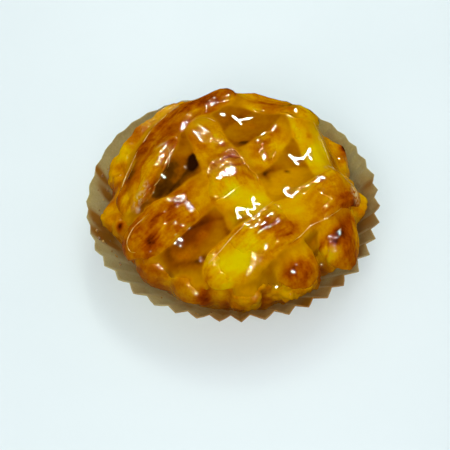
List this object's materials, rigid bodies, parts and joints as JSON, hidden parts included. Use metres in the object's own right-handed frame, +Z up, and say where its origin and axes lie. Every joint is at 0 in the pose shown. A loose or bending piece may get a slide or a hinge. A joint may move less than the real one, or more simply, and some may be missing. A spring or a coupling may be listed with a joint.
{
  "type": "apple tart",
  "caption": "Small round apple tart with a loose glazed lattice lid over an apple filling, standing in its own pleated brown paper baking case.",
  "frame": {"origin": "middle of the paper case's flat base, on the surface that it stands on", "axes": "+Z up; +X to the right and +Y away from the viewer, as in the picture"},
  "size_m": [0.112, 0.1119, 0.04],
  "materials": {
    "baking_paper": "matt, greasy in places",
    "baked_pastry": "baked golden brown, thinly glazed",
    "cooked_filling": "wet, glossy",
    "cooked_slice": "wet, glossy",
    "glazed_strip": "golden, under a clear glaze",
    "browned_strip": "browned, under a clear glaze",
    "pale_strip": "bright yellow, under a clear glaze"
  },
  "bodies": {
    "root": {"paper_case": "baking_paper", "pastry_shell": "baked_pastry", "apple_filling": "cooked_filling", "apple_slice_left": "cooked_slice", "apple_slice_right": "cooked_slice", "apple_slice_back": "cooked_slice", "apple_slice_front": "cooked_slice", "strip_middle": "glazed_strip", "strip_right": "glazed_strip", "strip_centre": "glazed_strip", "strip_back": "browned_strip", "strip_left": "browned_strip", "strip_front": "pale_strip"}
  },
  "joints": []
}
